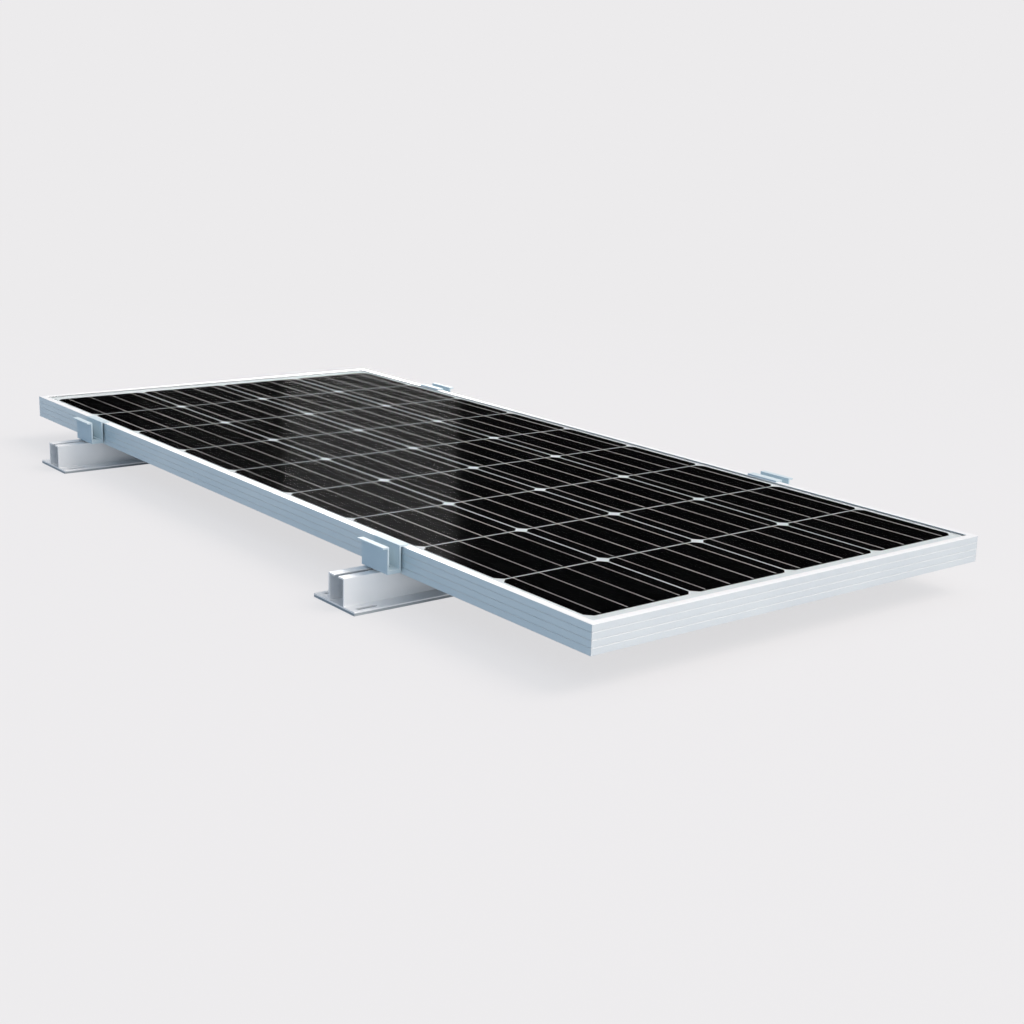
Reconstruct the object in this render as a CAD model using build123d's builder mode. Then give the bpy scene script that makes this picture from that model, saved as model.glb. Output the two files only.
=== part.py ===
from build123d import *
import os

# Framed solar panel held by four U clamps on two slotted rails.
# Millimetres, +Z up, origin on the ground under the middle of the panel.
# +X runs along the panel's long side and the rails run along Y.

# ---- Driving dimensions: cells and laminate ----
cell_size = 156.75
cell_gap = 2.25
cell_corner = 8.5
cells_along = 9
cells_across = 4
grid_shift = 4.0
end_margin = 30.625
side_margin = 18.125
glass_thickness = 2.0
encapsulant_thickness = 0.4
ribbon_thickness = 0.15
ribbon_width = 1.5
ribbon_setback = 3.0
ribbons_per_cell = 4
cell_thickness = 0.2
backsheet_thickness = 0.3

# ---- Driving dimensions: aluminium frame ----
frame_height = 35.0
frame_wall = 1.8
frame_lip = 10.4
lip_thickness = 1.0
frame_flange = 28.0
seat_thickness = 1.5
face_groove_width = 0.9
face_groove_depth = 0.4
face_groove_count = 3
laminate_inset = 3.2
sealant_thickness = 0.3
sealant_setback = 1.0
key_leg = 50.0
frame_slot_length = 14.0
frame_slot_width = 9.0
frame_slot_inset = 315.0

# ---- Driving dimensions: junction box ----
box_length = 110.0
box_width = 92.0
box_depth = 18.0
box_wall = 2.5
box_lid_thickness = 3.0
box_inset = 75.0
gland_radius = 6.0
gland_bore_radius = 3.5
gland_hex = 15.0
gland_head = 12.0

# ---- Driving dimensions: rails and pads ----
rail_overhang = 70.0
rail_height = 38.0
rail_wall = 2.0
channel_width = 35.0
channel_slot = 8.5
flange_near = 24.0
flange_far = 34.0
rail_left_inset = 233.0
rail_right_inset = 392.0
rail_slot_length = 30.0
rail_slot_width = 7.0
rail_slot_edge = 9.5
rail_slot_end = 23.5
pad_thickness = 3.0

# ---- Driving dimensions: clamps and bolts ----
clamp_length = 57.0
clamp_wall = 2.2
clamp_gap = 2.8
clamp_mouth = 15.0
clamp_hold = 8.0
clamp_outer_lip = 6.8
clamp_lip_thickness = 2.3
clamp_web = 5.0
clamp_clearance = 2.5
clamp_shift = 11.0
clamp_slot_length = 36.0
clamp_slot_width = 9.0
bolt_radius = 4.0
bolt_head_radius = 6.5
bolt_head_height = 8.0
bolt_socket = 6.0
bolt_socket_depth = 4.0
bolt_edge = 0.6
bolt_tail = 3.0
washer_radius = 7.0
washer_thickness = 1.6
nut_length = 20.0
nut_height = 8.0
nut_side_clearance = 0.5
edge_break = 0.3

# ---- Dependent sizes ----
cell_pitch = cell_size + cell_gap
panel_length = cells_along * cell_pitch - cell_gap + 2 * end_margin
panel_width = cells_across * cell_pitch - cell_gap + 2 * side_margin
rail_base = pad_thickness
rail_top = rail_base + rail_height
panel_base = rail_top
panel_top = panel_base + frame_height
stack = (
    glass_thickness + 2 * encapsulant_thickness + ribbon_thickness + cell_thickness + backsheet_thickness
)
groove_height = stack + 2 * sealant_thickness
seat_level = frame_height - lip_thickness - groove_height
chamber_height = seat_level - seat_thickness - frame_wall
chamber_width = frame_lip - 2 * frame_wall
backsheet_base = panel_base + seat_level + sealant_thickness
rear_film_base = backsheet_base + backsheet_thickness
cell_base = rear_film_base + encapsulant_thickness
ribbon_base = cell_base + cell_thickness
front_film_base = ribbon_base + ribbon_thickness
glass_base = front_film_base + encapsulant_thickness
rail_length = panel_width + 2 * rail_overhang
rail_left_x = -panel_length / 2 + rail_left_inset
rail_right_x = panel_length / 2 - rail_right_inset
rail_low_edge = -channel_width / 2 - flange_far
rail_high_edge = channel_width / 2 + flange_near
bolt_reach = clamp_gap + clamp_wall + clamp_mouth / 2
web_base = rail_top + clamp_clearance
washer_base = web_base + clamp_web
head_base = washer_base + washer_thickness
nut_base = rail_top - rail_wall - nut_height
box_base = backsheet_base - box_depth
box_x = -panel_length / 2 + box_inset + box_length / 2
slot_rail_y = rail_length / 2 - rail_slot_end

os.makedirs("parts", exist_ok=True)


def save(piece, label):
    """Name a finished piece and write it as one STEP file."""
    piece.part.label = label
    export_step(piece.part, f"parts/{label}.step")


# ---- Frame: four mitred bars joined by a key in each corner ----
with BuildSketch() as frame_section:
    corner = (Align.MIN, Align.MIN)
    Rectangle(frame_wall, frame_height, align=corner)
    Rectangle(frame_flange, frame_wall, align=corner)
    with Locations((0, frame_height - lip_thickness)):
        Rectangle(frame_lip, lip_thickness, align=corner)
    with Locations((0, seat_level - seat_thickness)):
        Rectangle(frame_lip, seat_thickness, align=corner)
    with Locations((frame_lip - frame_wall, 0)):
        Rectangle(frame_wall, seat_level, align=corner)
    groove_step = frame_height / (face_groove_count + 1)
    with Locations(*[(0, groove_step * (i + 1)) for i in range(face_groove_count)]):
        Rectangle(face_groove_depth, face_groove_width, align=(Align.MIN, Align.CENTER), mode=Mode.SUBTRACT)


def frame_bar(label, side, length, slots):
    """One frame bar. side stands at the middle of its outer bottom edge, x inward and y up."""
    with BuildPart() as bar:
        with BuildSketch(side):
            add(frame_section.sketch)
        extrude(amount=length / 2, both=True)
        for way in (1, -1):
            end = side.origin + side.z_dir * (way * length / 2)
            split(bisect_by=Plane(origin=end, z_dir=side.z_dir * way + side.x_dir), keep=Keep.BOTTOM)
        if slots:
            with BuildSketch(Plane.XY.offset(panel_base)):
                with Locations(*slots):
                    SlotOverall(frame_slot_length, frame_slot_width)
            extrude(amount=frame_wall, mode=Mode.SUBTRACT)
    save(bar, label)


frame_slot_x = panel_length / 2 - frame_slot_inset
frame_slot_y = panel_width / 2 - (frame_lip + frame_flange) / 2
for label, way in (("front", 1), ("rear", -1)):
    frame_bar(
        f"frame_{label}_bar",
        Plane(origin=(0, -way * panel_width / 2, panel_base), x_dir=(0, way, 0), z_dir=(way, 0, 0)),
        panel_length,
        [(frame_slot_x, -way * frame_slot_y), (-frame_slot_x, -way * frame_slot_y)],
    )
for label, way in (("left", 1), ("right", -1)):
    frame_bar(
        f"frame_{label}_bar",
        Plane(origin=(-way * panel_length / 2, 0, panel_base), x_dir=(way, 0, 0), z_dir=(0, -way, 0)),
        panel_width,
        [],
    )


def corner_key(label, way_x, way_y):
    """An L-shaped block that fills the hollow chambers on both sides of one mitre."""
    edge_x = way_x * (panel_length / 2 - frame_wall)
    edge_y = way_y * (panel_width / 2 - frame_wall)
    align = (Align.MAX if way_x > 0 else Align.MIN, Align.MAX if way_y > 0 else Align.MIN)
    with BuildPart() as key:
        with BuildSketch(Plane.XY.offset(panel_base + frame_wall)):
            with Locations((edge_x, edge_y)):
                Rectangle(key_leg, chamber_width, align=align)
                Rectangle(chamber_width, key_leg, align=align)
        extrude(amount=chamber_height)
    save(key, label)


for name_y, way_y in (("front", -1), ("rear", 1)):
    for name_x, way_x in (("left", -1), ("right", 1)):
        corner_key(f"corner_key_{name_y}_{name_x}", way_x, way_y)

# ---- Sealant: a ring of C section around the laminate's edge ----
with BuildPart() as sealant:
    with BuildSketch(Plane.XY.offset(panel_base + seat_level)):
        Rectangle(panel_length - 2 * frame_wall, panel_width - 2 * frame_wall)
        opening = frame_lip - sealant_setback
        Rectangle(panel_length - 2 * opening, panel_width - 2 * opening, mode=Mode.SUBTRACT)
    extrude(amount=groove_height)
    with BuildSketch(Plane.XY.offset(backsheet_base)):
        Rectangle(panel_length - 2 * laminate_inset, panel_width - 2 * laminate_inset)
    extrude(amount=stack, mode=Mode.SUBTRACT)
save(sealant, "frame_sealant")


# ---- Laminate: glass, films, cells, ribbons and backsheet ----
def laminate_sheet(label, base, thickness):
    """One full-size layer of the laminate."""
    with BuildPart() as sheet:
        with BuildSketch(Plane.XY.offset(base)):
            Rectangle(panel_length - 2 * laminate_inset, panel_width - 2 * laminate_inset)
        extrude(amount=thickness)
    save(sheet, label)


laminate_sheet("glass", glass_base, glass_thickness)
laminate_sheet("front_encapsulant", front_film_base, encapsulant_thickness)
laminate_sheet("rear_encapsulant", rear_film_base, encapsulant_thickness)
laminate_sheet("backsheet", backsheet_base, backsheet_thickness)


def cell_string(label, row_y):
    """A row of square cells with cut corners."""
    with BuildPart() as cells:
        with BuildSketch(Plane.XY.offset(cell_base)) as outline:
            with Locations((grid_shift, row_y)):
                with GridLocations(cell_pitch, cell_pitch, cells_along, 1):
                    Rectangle(cell_size, cell_size)
            chamfer(outline.vertices(), cell_corner)
        extrude(amount=cell_thickness)
    save(cells, label)


def ribbon_string(label, row_y):
    """The flat ribbons over one row of cells, each stopping short of its cell's +X edge."""
    ribbon_length = cell_pitch - ribbon_setback - cell_gap / 2
    ribbon_x = grid_shift - ribbon_setback / 2 - cell_gap / 4
    with BuildPart() as ribbons:
        with BuildSketch(Plane.XY.offset(ribbon_base)):
            with Locations((ribbon_x, row_y)):
                with GridLocations(cell_pitch, cell_size / ribbons_per_cell, cells_along, ribbons_per_cell):
                    Rectangle(ribbon_length, ribbon_width)
        extrude(amount=ribbon_thickness)
    save(ribbons, label)


for row in range(cells_across):
    row_y = (row - (cells_across - 1) / 2) * cell_pitch
    cell_string(f"cell_string_{row + 1}", row_y)
    ribbon_string(f"ribbons_string_{row + 1}", row_y)

# ---- Junction box on the back of the laminate, open downwards under its lid ----
gland_x = box_x + box_length / 2
gland_z = box_base + box_depth / 2
gland_places = [("front", -box_width / 4), ("rear", box_width / 4)]
with BuildPart() as box:
    with BuildSketch(Plane.XY.offset(box_base)) as box_outline:
        with Locations((box_x, 0)):
            Rectangle(box_length, box_width)
        fillet(box_outline.vertices(), 2 * box_wall)
    extrude(amount=box_depth)
    with BuildSketch(Plane.XY.offset(box_base)):
        with Locations((box_x, 0)):
            Rectangle(box_length - 2 * box_wall, box_width - 2 * box_wall)
    extrude(amount=box_depth - box_wall, mode=Mode.SUBTRACT)
    with BuildSketch(Plane.YZ.offset(gland_x - box_wall)):
        with Locations(*[(y, gland_z) for _, y in gland_places]):
            Circle(gland_radius)
    extrude(amount=box_wall, mode=Mode.SUBTRACT)
save(box, "junction_box_base")

with BuildPart() as box_lid:
    with BuildSketch(Plane.XY.offset(box_base - box_lid_thickness)) as lid_outline:
        with Locations((box_x, 0)):
            Rectangle(box_length, box_width)
        fillet(lid_outline.vertices(), 2 * box_wall)
    extrude(amount=box_lid_thickness)
    chamfer(box_lid.faces().sort_by(Axis.Z)[0].edges(), box_lid_thickness / 3)
save(box_lid, "junction_box_lid")


def cable_gland(label, y):
    """A hex-headed gland through the box wall, with an open bore for a cable."""
    with BuildPart() as gland:
        with BuildSketch(Plane.YZ.offset(gland_x - box_wall)):
            with Locations((y, gland_z)):
                Circle(gland_radius)
        extrude(amount=box_wall)
        with BuildSketch(Plane.YZ.offset(gland_x)):
            with Locations((y, gland_z)):
                RegularPolygon(gland_hex / 2, 6, major_radius=False)
        extrude(amount=gland_head)
        with BuildSketch(Plane.YZ.offset(gland_x - box_wall)):
            with Locations((y, gland_z)):
                Circle(gland_bore_radius)
        extrude(amount=box_wall + gland_head, mode=Mode.SUBTRACT)
    save(gland, label)


for place, y in gland_places:
    cable_gland(f"cable_gland_{place}", y)

# ---- Rails: a channel with a slotted top between two flat flanges ----
with BuildSketch() as rail_section:
    with Locations((rail_low_edge, 0)):
        Rectangle(rail_high_edge - rail_low_edge, rail_wall, align=(Align.MIN, Align.MIN))
    for way, side_align in ((-1, Align.MIN), (1, Align.MAX)):
        with Locations((way * channel_width / 2, 0)):
            Rectangle(rail_wall, rail_height, align=(side_align, Align.MIN))
        with Locations((way * channel_width / 2, rail_height)):
            Rectangle((channel_width - channel_slot) / 2, rail_wall, align=(side_align, Align.MAX))
    chamfer(rail_section.vertices(), edge_break)


def flange_slots(rail_x):
    """Centres of the four fixing slots: one near each end of each flange."""
    lines = (rail_x + rail_low_edge + rail_slot_edge, rail_x + rail_high_edge - rail_slot_edge)
    return [(x, y) for x in lines for y in (-slot_rail_y, slot_rail_y)]


def rail(label, rail_x):
    """One extruded rail along Y with its fixing slots."""
    with BuildPart() as body:
        with BuildSketch(Plane(origin=(rail_x, 0, rail_base), x_dir=(1, 0, 0), z_dir=(0, -1, 0))):
            add(rail_section.sketch)
        extrude(amount=rail_length / 2, both=True)
        with BuildSketch(Plane.XY.offset(rail_base)):
            with Locations(*flange_slots(rail_x)):
                SlotOverall(rail_slot_length, rail_slot_width, rotation=90)
        extrude(amount=rail_wall, mode=Mode.SUBTRACT)
    save(body, label)


def rail_pad(label, rail_x):
    """The protective strip under a rail's whole base, slotted like the flanges."""
    with BuildPart() as pad:
        with BuildSketch():
            with Locations((rail_x + rail_low_edge, 0)):
                Rectangle(rail_high_edge - rail_low_edge, rail_length, align=(Align.MIN, Align.CENTER))
            with Locations(*flange_slots(rail_x)):
                SlotOverall(rail_slot_length, rail_slot_width, rotation=90, mode=Mode.SUBTRACT)
        extrude(amount=pad_thickness)
    save(pad, label)


# ---- Clamps: a U beside the panel with a lip over the frame and a lip outwards ----
clamp_top = panel_top + clamp_lip_thickness - web_base
clamp_inner = clamp_gap + clamp_wall
clamp_outer = clamp_inner + clamp_mouth
with BuildSketch() as clamp_section:
    with Locations((clamp_gap, 0)):
        Rectangle(clamp_mouth + 2 * clamp_wall, clamp_web, align=corner)
        Rectangle(clamp_wall, clamp_top, align=corner)
    with Locations((clamp_outer, 0)):
        Rectangle(clamp_wall, clamp_top, align=corner)
    with Locations((-clamp_hold, clamp_top - clamp_lip_thickness)):
        Rectangle(clamp_hold + clamp_inner, clamp_lip_thickness, align=corner)
    with Locations((clamp_outer, clamp_top - clamp_lip_thickness)):
        Rectangle(clamp_wall + clamp_outer_lip, clamp_lip_thickness, align=corner)
    chamfer(clamp_section.vertices(), edge_break)


def clamp(label, rail_x, way):
    """One extruded clamp beside the panel's long side at -Y or +Y, with a slotted web."""
    edge_y = way * panel_width / 2
    place = Plane(origin=(rail_x + clamp_shift, edge_y, web_base), x_dir=(0, way, 0), z_dir=(way, 0, 0))
    with BuildPart() as body:
        with BuildSketch(place):
            add(clamp_section.sketch)
        extrude(amount=clamp_length / 2, both=True)
        with BuildSketch(Plane.XY.offset(web_base)):
            with Locations((rail_x + clamp_shift, edge_y + way * bolt_reach)):
                SlotOverall(clamp_slot_length, clamp_slot_width)
        extrude(amount=clamp_web, mode=Mode.SUBTRACT)
    save(body, label)


for side_x, rail_x in (("left", rail_left_x), ("right", rail_right_x)):
    rail(f"rail_{side_x}", rail_x)
    rail_pad(f"rail_pad_{side_x}", rail_x)
    clamp(f"clamp_front_{side_x}", rail_x, -1)
    clamp(f"clamp_rear_{side_x}", rail_x, 1)

# ---- Fasteners: one screw, washer and channel nut at each clamp ----
bolt_y = panel_width / 2 + bolt_reach
bolt_places = [(x, y) for x in (rail_left_x, rail_right_x) for y in (-bolt_y, bolt_y)]

# Socket cap screws, from above each clamp's web down through its nut
with BuildPart() as bolts:
    with BuildSketch(Plane.XY.offset(head_base)):
        with Locations(*bolt_places):
            Circle(bolt_head_radius)
    extrude(amount=bolt_head_height)
    chamfer(bolts.faces().group_by(Axis.Z)[-1].edges(), bolt_edge)
    with BuildSketch(Plane.XY.offset(head_base + bolt_head_height - bolt_socket_depth)):
        with Locations(*bolt_places):
            RegularPolygon(bolt_socket / 2, 6, major_radius=False)
    extrude(amount=bolt_socket_depth, mode=Mode.SUBTRACT)
    with BuildSketch(Plane.XY.offset(nut_base - bolt_tail)):
        with Locations(*bolt_places):
            Circle(bolt_radius)
    extrude(amount=head_base - nut_base + bolt_tail)
save(bolts, "clamp_bolts")

# Flat washers between the screw heads and the clamps' webs
with BuildPart() as washers:
    with BuildSketch(Plane.XY.offset(washer_base)):
        with Locations(*bolt_places):
            Circle(washer_radius)
            Circle(bolt_radius, mode=Mode.SUBTRACT)
    extrude(amount=washer_thickness)
save(washers, "clamp_washers")

# Block nuts that slide in the rails and bear on the underside of their lips
with BuildPart() as nuts:
    with BuildSketch(Plane.XY.offset(nut_base)):
        with Locations(*bolt_places):
            Rectangle(channel_width - 2 * rail_wall - 2 * nut_side_clearance, nut_length)
            Circle(bolt_radius, mode=Mode.SUBTRACT)
    extrude(amount=nut_height)
save(nuts, "channel_nuts")
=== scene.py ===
import math

import bpy
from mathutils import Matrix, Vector


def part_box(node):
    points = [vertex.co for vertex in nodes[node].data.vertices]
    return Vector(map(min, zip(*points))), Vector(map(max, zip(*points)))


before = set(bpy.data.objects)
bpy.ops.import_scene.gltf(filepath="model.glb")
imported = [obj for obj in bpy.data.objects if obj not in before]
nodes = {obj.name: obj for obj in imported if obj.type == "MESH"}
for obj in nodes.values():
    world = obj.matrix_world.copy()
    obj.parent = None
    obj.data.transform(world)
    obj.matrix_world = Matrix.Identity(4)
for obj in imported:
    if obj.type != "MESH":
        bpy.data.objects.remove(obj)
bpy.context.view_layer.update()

# ---- Camera, in metres and degrees: off the near right corner, a little above the panel ----
SENSOR_MM = 36.0
LENS_MM = 54.83
CAMERA_SHIFT = (-0.0429, -0.0029)
CAMERA_PLACE = (1.9074, -1.3653, 0.5954)
CAMERA_TURN = (75.687, -2.172, 50.573)

# ---- Metal ----
LINES_ACROSS = 900.0  # drawn lines: fine across the metal
LINES_ALONG = 4.0  # and long along it
LINE_DEPTH = 0.00005
LINE_ROUGHNESS = 0.06  # how far the lines move the roughness either way
CLOUD_SCALE = 9.0
COAT_ROUGHNESS = 0.25
WIDE_EDGE = 0.0011  # radius of the frame's rounded look and of its painted edge highlight
THIN_EDGE = 0.0004  # and of thinner metal's
EDGE_SAMPLES = 6
TURNED = (0.95, 0.998)  # how far the rounded normal turns: a full edge, and none
# Painted highlight: the pale colour that edges, groove lips and the frame's top face are blended towards
PAINTED_HIGHLIGHT = (0.9, 0.91, 0.915, 1.0)
HIGHLIGHT_FADE = (0.0005, 0.0001)  # below the top face: where the painted highlight starts, and where it is full
# The long bars' colours are bluer and less red than the short bars': painted cool shade of the near long
# side; the clamps share them
LONG_BAR = ((0.59, 0.7, 0.75), (0.65, 0.75, 0.79))
SHORT_BAR = ((0.65, 0.68, 0.7), (0.7, 0.73, 0.74))
RAIL = ((0.84, 0.85, 0.86), (0.9, 0.91, 0.92))
STEEL = ((0.5, 0.5, 0.5), (0.6, 0.6, 0.6))
RIBBON = ((0.58, 0.59, 0.6), (0.7, 0.71, 0.72))
CLAMP_SPECULAR = 0.15

# ---- Glass, cells, sheets and plastics ----
GLASS_COLOUR = (0.01, 0.012, 0.015, 1.0)
GLASS_IOR = 1.5
GLASS_GLOSS = 0.008
GLASS_GRAIN = 700.0
FILM_COLOUR = (0.01, 0.01, 0.01, 1.0)
FILM_ALPHA = 0.001
FINGER_SCALE = 180.0
SILICON = ((0.001, 0.0011, 0.0013), (0.004, 0.0042, 0.005))
WHITE_SHEET = ((0.66, 0.76, 0.81), (0.71, 0.8, 0.85))
CAST_KEY = ((0.5, 0.5, 0.51), (0.58, 0.58, 0.59))
SEALANT = ((0.8, 0.8, 0.8), (0.85, 0.85, 0.85))
BLACK_PLASTIC = ((0.02, 0.02, 0.022), (0.03, 0.03, 0.032))
GREY_RUBBER = ((0.4, 0.42, 0.43), (0.46, 0.48, 0.49))
GRAIN_DEPTH = 0.0002
GRAIN_ROUGHNESS = 0.05

# ---- Floor, world and lamps ----
FLOOR_SIZE = 80.0
FLOOR_GLOW = 0.8  # how much of the floor's look is its own near the object
FLOOR_NEAR = 1.0
FLOOR_FAR = 2.5  # from here on the floor is all its own colour
FLOOR_BOUNCE = (0.46, 0.53, 0.59)
BACKDROP = (0.84, 0.83, 0.84, 1.0)
BRIGHT_SIDE = (0.4, 0.8, 0.45)
SKY_BLEND = 0.6
DIM_SKY = (0.02, 0.16, 0.34)
BRIGHT_SKY = (0.88, 0.88, 0.88)
SUN_STRENGTH = 1.7
SUN_ANGLE = 35
SUN_COLOUR = (1.0, 0.88, 0.8)
SUN_TURN = (-35, 20, 0)
STRIP_AIM = (0.6, -0.5, 0.3)
STRIP_HEIGHT = 1.2
STRIPS = (  # name, place, width and power
    ("strip", (-3.0, 1.82, 0.98), 0.66, 32.0),
    ("pale_strip", (-3.3, 1.3, 0.98), 0.5, 5.0),
)


def make_camera():
    """Three-quarter view over the panel's near right corner."""
    data = bpy.data.cameras.new("camera")
    data.sensor_width = SENSOR_MM
    data.lens = LENS_MM
    data.shift_x, data.shift_y = CAMERA_SHIFT
    camera = bpy.data.objects.new("camera", data)
    camera.location = CAMERA_PLACE
    camera.rotation_euler = [math.radians(angle) for angle in CAMERA_TURN]
    bpy.context.scene.collection.objects.link(camera)
    bpy.context.scene.camera = camera


# ---- Node helpers for the materials ----
def new_material(name):
    """A material with an empty Principled shader; returns it, its node tree and the shader."""
    material = bpy.data.materials.new(name)
    material.use_nodes = True
    return material, material.node_tree, material.node_tree.nodes["Principled BSDF"]


def placed(tree, scale=(1.0, 1.0, 1.0)):
    """Object coordinates, maybe scaled by a different amount along each axis."""
    place = tree.nodes.new("ShaderNodeTexCoord")
    mapping = tree.nodes.new("ShaderNodeMapping")
    mapping.inputs["Scale"].default_value = scale
    tree.links.new(place.outputs["Object"], mapping.inputs["Vector"])
    return mapping.outputs["Vector"]


def noise(tree, vector, scale, detail=2.0):
    """Noise between 0 and 1 on the given coordinates."""
    texture = tree.nodes.new("ShaderNodeTexNoise")
    texture.inputs["Scale"].default_value = scale
    texture.inputs["Detail"].default_value = detail
    tree.links.new(vector, texture.inputs["Vector"])
    return texture.outputs["Fac"]


def spread(tree, value, low, high, start=0.3, end=0.7):
    """Maps a value from start..end to low..high; the defaults span most of a noise."""
    ranged = tree.nodes.new("ShaderNodeMapRange")
    ranged.inputs["From Min"].default_value = start
    ranged.inputs["From Max"].default_value = end
    ranged.inputs["To Min"].default_value = low
    ranged.inputs["To Max"].default_value = high
    tree.links.new(value, ranged.inputs["Value"])
    return ranged.outputs["Result"]


def tinted(tree, value, dark, light):
    """A colour between dark and light, chosen by a value from 0 to 1."""
    ramp = tree.nodes.new("ShaderNodeValToRGB")
    ramp.color_ramp.elements[0].color = (*dark, 1.0)
    ramp.color_ramp.elements[1].color = (*light, 1.0)
    tree.links.new(value, ramp.inputs["Fac"])
    return ramp.outputs["Color"]


def facing(tree, first, second):
    """The dot product of a socket's direction and another socket or a fixed direction."""
    dot = tree.nodes.new("ShaderNodeVectorMath")
    dot.operation = "DOT_PRODUCT"
    tree.links.new(first, dot.inputs[0])
    if isinstance(second, tuple):
        dot.inputs[1].default_value = second
    else:
        tree.links.new(second, dot.inputs[1])
    return dot.outputs["Value"]


def mixed(tree, share, first, second):
    """The first shader, with a share of the second: a number or a socket."""
    mix = tree.nodes.new("ShaderNodeMixShader")
    if isinstance(share, float):
        mix.inputs["Fac"].default_value = share
    else:
        tree.links.new(share, mix.inputs["Fac"])
    tree.links.new(first, mix.inputs[1])
    tree.links.new(second, mix.inputs[2])
    return mix.outputs["Shader"]


def sees_backdrop(tree):
    """1 for camera, glossy and transmission rays, so metal and glass show the backdrop too."""
    path = tree.nodes.new("ShaderNodeLightPath")
    total = path.outputs["Is Camera Ray"]
    for kind in ("Is Glossy Ray", "Is Transmission Ray"):
        add = tree.nodes.new("ShaderNodeMath")
        add.operation = "ADD"
        add.use_clamp = True
        tree.links.new(total, add.inputs[0])
        tree.links.new(path.outputs[kind], add.inputs[1])
        total = add.outputs["Value"]
    return total


def bumped(tree, shader, value, strength, distance, normal=None):
    """Raises the surface by a texture, on top of another normal where one is given."""
    bump = tree.nodes.new("ShaderNodeBump")
    if normal:
        tree.links.new(normal, bump.inputs["Normal"])
    bump.inputs["Strength"].default_value = strength
    bump.inputs["Distance"].default_value = distance
    tree.links.new(value, bump.inputs["Height"])
    tree.links.new(bump.outputs["Normal"], shader.inputs["Normal"])


# ---- Materials ----
def rounded(tree, radius):
    """The normal with its edges rounded, and how near an edge a point is, from 0 to 1."""
    bevel = tree.nodes.new("ShaderNodeBevel")
    bevel.samples = EDGE_SAMPLES
    bevel.inputs["Radius"].default_value = radius
    here = tree.nodes.new("ShaderNodeNewGeometry")
    turn = facing(tree, bevel.outputs["Normal"], here.outputs["Normal"])
    return bevel.outputs["Normal"], spread(tree, turn, 1.0, 0.0, *TURNED)


def add_painted_highlight(tree, colour, amount):
    """Blends a colour towards the pale painted highlight colour."""
    mix = tree.nodes.new("ShaderNodeMix")
    mix.data_type = "RGBA"
    mix.inputs["B"].default_value = PAINTED_HIGHLIGHT
    tree.links.new(amount, mix.inputs["Factor"])
    tree.links.new(colour, mix.inputs["A"])
    return mix.outputs["Result"]


def painted_highlight_above(tree, colour, height):
    """Blends a colour into the painted highlight colour from just below a height upwards: a painted
    highlight on the top face.
    """
    split = tree.nodes.new("ShaderNodeSeparateXYZ")
    tree.links.new(placed(tree), split.inputs["Vector"])
    start, full = (height - gap for gap in HIGHLIGHT_FADE)
    return add_painted_highlight(tree, colour, spread(tree, split.outputs["Z"], 0.0, 1.0, start, full))


def brushed_metal(
    name, along, colours, metallic, roughness, depth, coat=0.0, edge_highlight=0.0, top=None, radius=THIN_EDGE
):
    """Metal with lines along one axis and faint clouds, and maybe a coat, a painted highlight along edges
    and a painted highlight on the top face.
    """
    material, tree, shader = new_material(name)
    scale = [LINES_ACROSS] * 3
    scale["XYZ".index(along)] = LINES_ALONG
    lines = noise(tree, placed(tree, scale), 1.0)
    cloud = noise(tree, placed(tree), CLOUD_SCALE, 3.0)
    colour = tinted(tree, spread(tree, cloud, 0.0, 1.0), *colours)
    normal, edge = rounded(tree, radius)
    # Painted highlight along edges and groove lips, as strong as edge_highlight
    colour = add_painted_highlight(tree, colour, spread(tree, edge, 0.0, edge_highlight, 0.0, 1.0))
    # Painted highlight on the top face
    if top:
        colour = painted_highlight_above(tree, colour, top)
    tree.links.new(colour, shader.inputs["Base Color"])
    low, high = roughness - LINE_ROUGHNESS, roughness + LINE_ROUGHNESS
    tree.links.new(spread(tree, lines, low, high), shader.inputs["Roughness"])
    shader.inputs["Metallic"].default_value = metallic
    shader.inputs["Coat Weight"].default_value = coat
    shader.inputs["Coat Roughness"].default_value = COAT_ROUGHNESS
    bumped(tree, shader, lines, depth, LINE_DEPTH, normal)
    return material


def solar_glass():
    """Low-iron glass: it bends the sight of the cells, lets the lamps through and has a little gloss."""
    material, tree, shader = new_material("solar_glass")
    texture = noise(tree, placed(tree), GLASS_GRAIN)
    shader.inputs["Base Color"].default_value = GLASS_COLOUR
    shader.inputs["IOR"].default_value = GLASS_IOR
    tree.links.new(spread(tree, texture, 0.06, 0.12), shader.inputs["Roughness"])
    bend = tree.nodes.new("ShaderNodeBsdfRefraction")
    bend.inputs["IOR"].default_value = GLASS_IOR
    bend.inputs["Roughness"].default_value = 0.0
    clear = tree.nodes.new("ShaderNodeBsdfTransparent")
    shadow_ray = tree.nodes.new("ShaderNodeLightPath").outputs["Is Shadow Ray"]
    glossy = mixed(tree, GLASS_GLOSS, bend.outputs["BSDF"], shader.outputs["BSDF"])
    surface = mixed(tree, shadow_ray, glossy, clear.outputs["BSDF"])
    tree.links.new(surface, tree.nodes["Material Output"].inputs["Surface"])
    return material


def clear_film():
    """The encapsulant over the cells, all but invisible."""
    material, tree, shader = new_material("clear_film")
    texture = noise(tree, placed(tree), 40.0)
    shader.inputs["Base Color"].default_value = FILM_COLOUR
    shader.inputs["Specular IOR Level"].default_value = 0.0
    shader.inputs["Alpha"].default_value = FILM_ALPHA
    tree.links.new(spread(tree, texture, 0.5, 0.6), shader.inputs["Roughness"])
    return material


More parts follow.
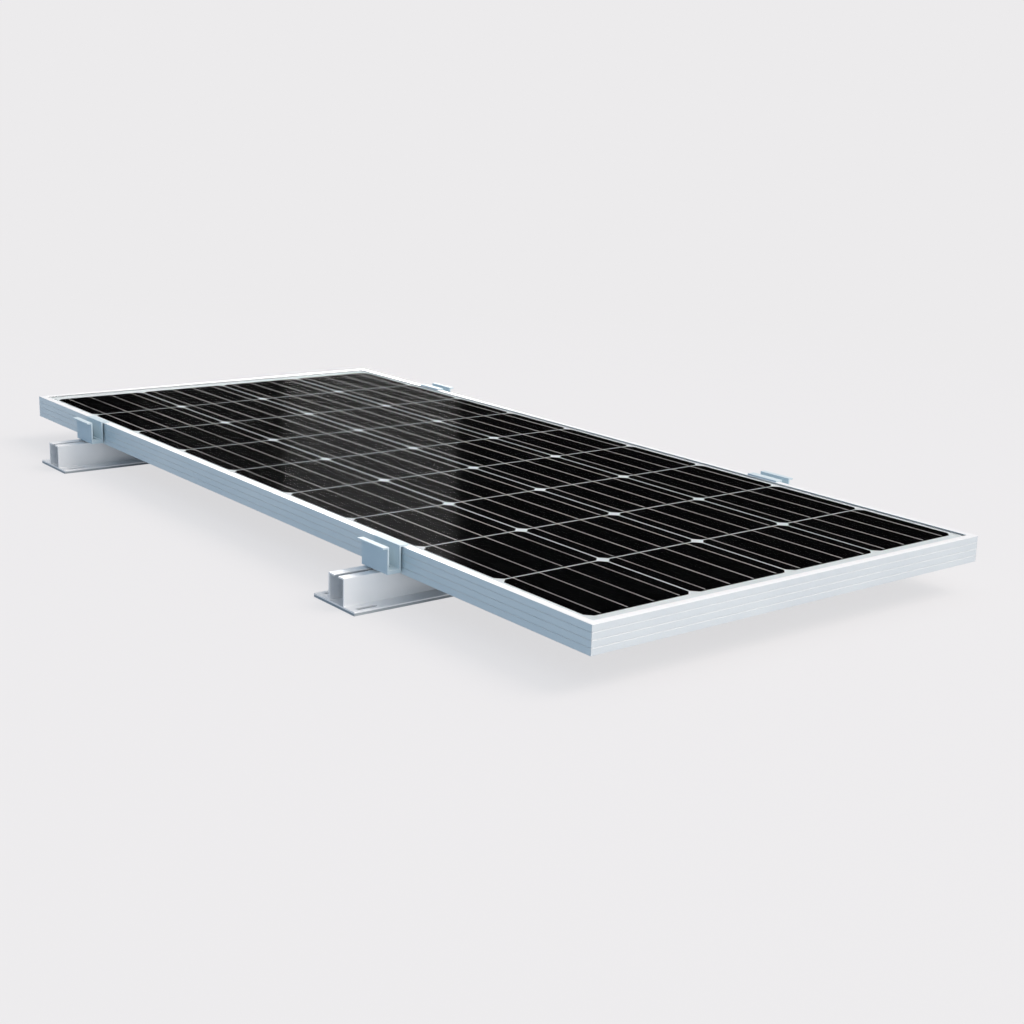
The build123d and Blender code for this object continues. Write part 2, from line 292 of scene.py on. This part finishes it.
def silicon():
    """Black textured silicon crossed by hair-fine printed fingers."""
    material, tree, shader = new_material("silicon_cell")
    fingers = tree.nodes.new("ShaderNodeTexWave")
    fingers.wave_type = "BANDS"
    fingers.bands_direction = "X"
    fingers.inputs["Scale"].default_value = FINGER_SCALE
    tree.links.new(placed(tree), fingers.inputs["Vector"])
    lines = spread(tree, fingers.outputs["Fac"], 0.0, 1.0, 0.9, 1.0)
    tree.links.new(tinted(tree, lines, *SILICON), shader.inputs["Base Color"])
    cloud = noise(tree, placed(tree), 6.0)
    tree.links.new(spread(tree, cloud, 0.42, 0.55), shader.inputs["Roughness"])
    shader.inputs["Specular IOR Level"].default_value = 0.0
    return material


def soft_plastic(name, colours, roughness, grain, depth):
    """A matt moulded or rolled surface with a fine grain."""
    material, tree, shader = new_material(name)
    texture = noise(tree, placed(tree), grain, 3.0)
    cloud = noise(tree, placed(tree), 7.0, 2.0)
    tree.links.new(tinted(tree, spread(tree, cloud, 0.0, 1.0), *colours), shader.inputs["Base Color"])
    low, high = roughness - GRAIN_ROUGHNESS, roughness + GRAIN_ROUGHNESS
    tree.links.new(spread(tree, texture, low, high), shader.inputs["Roughness"])
    bumped(tree, shader, texture, depth, GRAIN_DEPTH)
    return material


def dress(material, *names):
    """Gives one material to the named CAD nodes."""
    for name in names:
        nodes[name].data.materials.clear()
        nodes[name].data.materials.append(material)


def starting(*starts):
    """The CAD nodes whose names start in one of these ways."""
    return [name for name in nodes if name.startswith(starts)]


def dress_metal():
    """The frame, rails, clamps, fasteners and ribbons."""
    anodised = {
        "metallic": 0.15,
        "roughness": 0.4,
        "depth": 0.3,
        "coat": 0.2,
        # height of the frame's top face: the painted highlight starts just below it
        "top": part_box("frame_front_bar")[1][2],
        "radius": WIDE_EDGE,
    }
    # Long bars: bluer colours as painted cool shade, and a painted highlight on edges, grooves and the top
    # face
    long_bar = brushed_metal("long_bar_metal", "X", LONG_BAR, edge_highlight=0.45, **anodised)
    dress(long_bar, "frame_front_bar", "frame_rear_bar")
    # Short bars: painted highlight lines along edges and groove lips at full strength, and on the top face
    short_bar = brushed_metal("short_bar_metal", "Y", SHORT_BAR, edge_highlight=1.0, **anodised)
    dress(short_bar, "frame_left_bar", "frame_right_bar")
    # Rails: painted highlight along edges at half strength
    rail = brushed_metal("rail_metal", "Y", RAIL, 0.3, 0.42, 0.3, coat=0.2, edge_highlight=0.5)
    dress(rail, "rail_left", "rail_right")
    # Clamps: the long bars' shade-tinted colours, with a faint painted highlight along edges
    clamp = brushed_metal("clamp_metal", "X", LONG_BAR, 0.0, 0.5, 0.3, edge_highlight=0.3)
    clamp_shader = clamp.node_tree.nodes["Principled BSDF"]
    clamp_shader.inputs["Specular IOR Level"].default_value = CLAMP_SPECULAR
    dress(clamp, *starting("clamp_front", "clamp_rear"))
    steel = brushed_metal("stainless_steel", "Z", STEEL, 0.9, 0.32, 0.2)
    dress(steel, "clamp_bolts", "clamp_washers", "channel_nuts")
    dress(brushed_metal("tinned_ribbon", "X", RIBBON, 0.3, 0.4, 0.2), *starting("ribbons_string"))


def dress_panel():
    """The glass, cells, films, sheet and sealant."""
    dress(solar_glass(), "glass")
    dress(clear_film(), "front_encapsulant")
    dress(silicon(), *starting("cell_string"))
    dress(soft_plastic("rear_film", WHITE_SHEET, 0.6, 60.0, 0.1), "rear_encapsulant")
    dress(soft_plastic("white_backsheet", WHITE_SHEET, 0.6, 400.0, 0.2), "backsheet")
    dress(soft_plastic("sealant", SEALANT, 0.5, 200.0, 0.2), "frame_sealant")


def dress_small_parts():
    """The corner keys, the junction box with its glands, and the rail pads."""
    dress(soft_plastic("cast_key", CAST_KEY, 0.5, 300.0, 0.4), *starting("corner_key"))
    dress(
        soft_plastic("black_plastic", BLACK_PLASTIC, 0.5, 900.0, 0.3),
        *starting("junction_box", "cable_gland"),
    )
    dress(soft_plastic("grey_rubber", GREY_RUBBER, 0.75, 500.0, 0.4), "rail_pad_left", "rail_pad_right")


# ---- Floor, world and lamps ----
def floor_material():
    """Pale, lit and shadowed near the object and all its own colour far from it, and clear from below."""
    material, tree, shader = new_material("floor")
    shader.inputs["Roughness"].default_value = 0.9
    shader.inputs["Specular IOR Level"].default_value = 0.0
    seen = sees_backdrop(tree)
    tree.links.new(tinted(tree, seen, FLOOR_BOUNCE, BACKDROP[:3]), shader.inputs["Base Color"])
    glow = tree.nodes.new("ShaderNodeEmission")
    glow.inputs["Color"].default_value = BACKDROP
    away = tree.nodes.new("ShaderNodeVectorMath")
    away.operation = "LENGTH"
    tree.links.new(placed(tree), away.inputs[0])
    own = spread(tree, away.outputs["Value"], FLOOR_GLOW, 1.0, FLOOR_NEAR, FLOOR_FAR)
    share = tree.nodes.new("ShaderNodeMath")
    share.operation = "MULTIPLY"
    tree.links.new(seen, share.inputs[0])
    tree.links.new(own, share.inputs[1])
    above = mixed(tree, share.outputs["Value"], shader.outputs["BSDF"], glow.outputs["Emission"])
    below = tree.nodes.new("ShaderNodeNewGeometry").outputs["Backfacing"]
    clear = tree.nodes.new("ShaderNodeBsdfTransparent")
    surface = mixed(tree, below, above, clear.outputs["BSDF"])
    tree.links.new(surface, tree.nodes["Material Output"].inputs["Surface"])
    return material


def make_floor():
    """A wide floor under the pads."""
    half = FLOOR_SIZE / 2
    mesh = bpy.data.meshes.new("floor")
    corners = [(-half, -half, 0.0), (half, -half, 0.0), (half, half, 0.0), (-half, half, 0.0)]
    mesh.from_pydata(corners, [], [(0, 1, 2, 3)])
    mesh.materials.append(floor_material())
    floor = bpy.data.objects.new("floor", mesh)
    bpy.context.scene.collection.objects.link(floor)


def make_world():
    """A pale studio, cooler and dimmer towards -Y, with an even backdrop where it is seen."""
    world = bpy.data.worlds.new("studio")
    world.use_nodes = True
    tree = world.node_tree
    lit = tree.nodes["Background"]
    place = tree.nodes.new("ShaderNodeTexCoord")
    side = facing(tree, place.outputs["Generated"], BRIGHT_SIDE)
    share = spread(tree, side, 0.0, 1.0, -SKY_BLEND, SKY_BLEND)
    tree.links.new(tinted(tree, share, DIM_SKY, BRIGHT_SKY), lit.inputs["Color"])
    seen = tree.nodes.new("ShaderNodeBackground")
    seen.inputs["Color"].default_value = BACKDROP
    surface = mixed(tree, sees_backdrop(tree), lit.outputs["Background"], seen.outputs["Background"])
    tree.links.new(surface, tree.nodes["World Output"].inputs["Surface"])
    bpy.context.scene.world = world


def make_sun():
    """A broad warm light from above and behind."""
    data = bpy.data.lights.new("sun", "SUN")
    data.energy = SUN_STRENGTH
    data.angle = math.radians(SUN_ANGLE)
    data.color = SUN_COLOUR
    sun = bpy.data.objects.new("sun", data)
    sun.rotation_euler = [math.radians(angle) for angle in SUN_TURN]
    bpy.context.scene.collection.objects.link(sun)


def make_softbox(name, place, aim, width, height, power):
    """A rectangular light at a place, turned to face the aim."""
    data = bpy.data.lights.new(name, "AREA")
    data.shape = "RECTANGLE"
    data.size = width
    data.size_y = height
    data.energy = power
    light = bpy.data.objects.new(name, data)
    light.location = place
    light.rotation_euler = (Vector(aim) - Vector(place)).to_track_quat("-Z", "Y").to_euler()
    bpy.context.scene.collection.objects.link(light)
    return light


def make_lamps():
    """The sun, a low fill on the right end, and two strips that only gloss sees, for the glass."""
    make_sun()
    make_softbox("low_fill", (3.5, -0.3, 0.35), (0.3, -0.3, 0.03), 1.2, 0.6, 21.0)
    for name, place, width, power in STRIPS:
        strip = make_softbox(name, place, STRIP_AIM, width, STRIP_HEIGHT, power)
        strip.visible_diffuse = False


make_camera()
dress_metal()
dress_panel()
dress_small_parts()
make_floor()
make_world()
make_lamps()
bpy.context.scene.view_settings.view_transform = "Standard"
